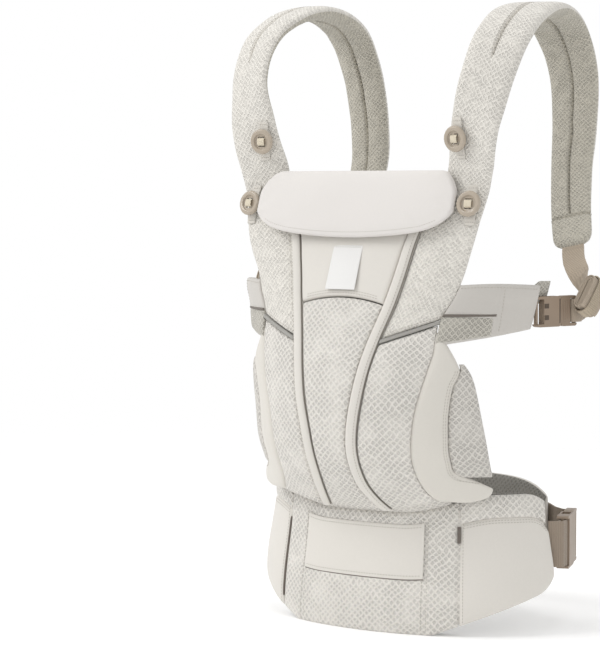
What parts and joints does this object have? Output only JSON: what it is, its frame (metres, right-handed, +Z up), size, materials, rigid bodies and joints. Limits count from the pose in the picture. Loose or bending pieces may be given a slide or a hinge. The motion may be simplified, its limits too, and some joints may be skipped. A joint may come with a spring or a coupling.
{
  "type": "soft structured baby carrier",
  "caption": "Soft baby carrier with a padded waist belt, shaped front panel, two looped shoulder straps, fold-down head support, webbing and side-release buckles.",
  "frame": {"origin": "middle of the bounding box footprint, on the ground under the standing belt", "axes": "+Z up, the front panel faces -Y, +X is to the right seen from the front"},
  "size_m": [0.4654, 0.3242, 0.6925],
  "materials": {
    "mesh": "air mesh knit with staggered diamond dimples, off-white",
    "strap_knit": "finer air mesh knit, off-white",
    "plain": "smooth close weave, light stone",
    "smooth": "smooth brushed jersey, off-white",
    "pad_cover": "smooth close weave over padding, light stone",
    "lining": "inner spacer mesh, warm grey",
    "foam": "soft open-cell foam sheet",
    "webbing": "ribbed polyester webbing, taupe",
    "tape": "narrow woven tape, cream",
    "piping": "folded grosgrain piping, grey",
    "label": "plain woven label with no marks, white",
    "buckle": "moulded acetal, satin taupe",
    "button": "moulded plastic, glossy cream taupe"
  },
  "bodies": {
    "root": {"belt_front_cover": "mesh", "belt_foam": "foam", "belt_lining": "lining", "belt_side_cover_right": "plain", "belt_side_cover_left": "plain", "accessory_patch": "plain", "waist_socket": "buckle", "waist_webbing_right": "webbing", "waist_webbing_left": "webbing", "lumbar_pad": "lining", "waist_slider": "buckle", "waist_webbing_tail": "webbing", "centre_mesh": "mesh", "centre_top": "plain", "rib_right": "plain", "side_mesh_right": "mesh", "piping_right": "piping", "strap_base_right": "strap_knit", "leg_pad_right": "pad_cover", "leg_gusset_right": "mesh", "wing_right": "plain", "wing_mesh_right": "mesh", "rib_left": "plain", "side_mesh_left": "mesh", "piping_left": "piping", "strap_base_left": "strap_knit", "leg_pad_left": "pad_cover", "leg_gusset_left": "mesh", "wing_left": "plain", "wing_mesh_left": "mesh", "panel_lining": "lining", "label": "label", "strap_right": "strap_knit", "button_tape_right": "tape", "shoulder_socket_right": "buckle", "strap_webbing_right": "webbing", "strap_left": "strap_knit", "button_tape_left": "tape", "shoulder_socket_left": "buckle", "strap_webbing_left": "webbing"},
    "head_support": {"head_flap_front": "smooth", "head_flap_foam": "foam", "head_flap_back": "smooth"},
    "shoulder_plug_right": {"shoulder_plug_right": "buckle", "webbing_roll_right": "webbing", "roll_elastic_right": "webbing"},
    "shoulder_latch_upper_right": {"shoulder_latch_upper_right": "buckle"},
    "shoulder_latch_lower_right": {"shoulder_latch_lower_right": "buckle"},
    "shoulder_plug_left": {"shoulder_plug_left": "buckle", "webbing_roll_left": "webbing", "roll_elastic_left": "webbing"},
    "shoulder_latch_upper_left": {"shoulder_latch_upper_left": "buckle"},
    "shoulder_latch_lower_left": {"shoulder_latch_lower_left": "buckle"},
    "waist_plug": {"waist_plug": "buckle"},
    "waist_latch_upper": {"waist_latch_upper": "buckle"},
    "waist_latch_lower": {"waist_latch_lower": "buckle"},
    "button_upper_right": {"button_upper_right": "button"},
    "button_lower_right": {"button_lower_right": "button"},
    "button_upper_left": {"button_upper_left": "button"},
    "button_lower_left": {"button_lower_left": "button"}
  },
  "joints": [
    {"name": "head_support_fold", "type": "hinge", "parent": "root", "child": "head_support", "pos_m": [0, -0.09553, 0.497], "axis": [-1, 0, 0], "range_deg": [0, 115]},
    {"name": "shoulder_plug_slide_right", "type": "slide", "parent": "root", "child": "shoulder_plug_right", "axis": [0.3231, 0.9463, 0.0056], "range_m": [0, 0.022], "deforming": ["strap_webbing_right"]},
    {"name": "shoulder_latch_upper_right_press", "type": "hinge", "parent": "shoulder_plug_right", "child": "shoulder_latch_upper_right", "pos_m": [0.19273, -0.00119, 0.35663], "axis": [0.9476, -0.3195, 0.0081], "range_deg": [0, 8], "stiffness_Nm_per_rad": 0.5},
    {"name": "shoulder_latch_lower_right_press", "type": "hinge", "parent": "shoulder_plug_right", "child": "shoulder_latch_lower_right", "pos_m": [0.1928, -0.00119, 0.34388], "axis": [-0.9476, 0.3195, -0.0081], "range_deg": [0, 8], "stiffness_Nm_per_rad": 0.5},
    {"name": "shoulder_plug_slide_left", "type": "slide", "parent": "root", "child": "shoulder_plug_left", "axis": [-0.3125, 0.9499, 0.0055], "range_m": [0, 0.022], "deforming": ["strap_webbing_left"]},
    {"name": "shoulder_latch_upper_left_press", "type": "hinge", "parent": "shoulder_plug_left", "child": "shoulder_latch_upper_left", "pos_m": [-0.19273, -0.00125, 0.35668], "axis": [0.9511, 0.3089, -0.008], "range_deg": [0, 8], "stiffness_Nm_per_rad": 0.5},
    {"name": "shoulder_latch_lower_left_press", "type": "hinge", "parent": "shoulder_plug_left", "child": "shoulder_latch_lower_left", "pos_m": [-0.19281, -0.00114, 0.34383], "axis": [-0.9511, -0.3089, 0.008], "range_deg": [0, 8], "stiffness_Nm_per_rad": 0.5},
    {"name": "waist_plug_slide", "type": "slide", "parent": "root", "child": "waist_plug", "axis": [-0.366, 0.9306, 0], "range_m": [0, 0.03], "deforming": ["waist_webbing_left"]},
    {"name": "waist_latch_upper_press", "type": "hinge", "parent": "waist_plug", "child": "waist_latch_upper", "pos_m": [0.16917, 0.06494, 0.1149], "axis": [0.9306, 0.366, 0], "range_deg": [0, 7], "stiffness_Nm_per_rad": 0.8},
    {"name": "waist_latch_lower_press", "type": "hinge", "parent": "waist_plug", "child": "waist_latch_lower", "pos_m": [0.16917, 0.06494, 0.0771], "axis": [-0.9306, -0.366, 0], "range_deg": [0, 7], "stiffness_Nm_per_rad": 0.8},
    {"name": "button_upper_right_tilt", "type": "hinge", "parent": "root", "child": "button_upper_right", "pos_m": [0.12706, -0.10329, 0.53391], "axis": [0.9959, -0.0906, 0], "range_deg": [-5, 5], "stiffness_Nm_per_rad": 0.02},
    {"name": "button_lower_right_tilt", "type": "hinge", "parent": "root", "child": "button_lower_right", "pos_m": [0.14348, -0.10309, 0.46515], "axis": [0.9961, 0.0877, 0], "range_deg": [-5, 5], "stiffness_Nm_per_rad": 0.02},
    {"name": "button_upper_left_tilt", "type": "hinge", "parent": "root", "child": "button_upper_left", "pos_m": [-0.12706, -0.10329, 0.53391], "axis": [0.9959, 0.0906, 0], "range_deg": [-5, 5], "stiffness_Nm_per_rad": 0.02},
    {"name": "button_lower_left_tilt", "type": "hinge", "parent": "root", "child": "button_lower_left", "pos_m": [-0.14348, -0.10309, 0.46515], "axis": [0.9961, -0.0877, 0], "range_deg": [-5, 5], "stiffness_Nm_per_rad": 0.02}
  ]
}
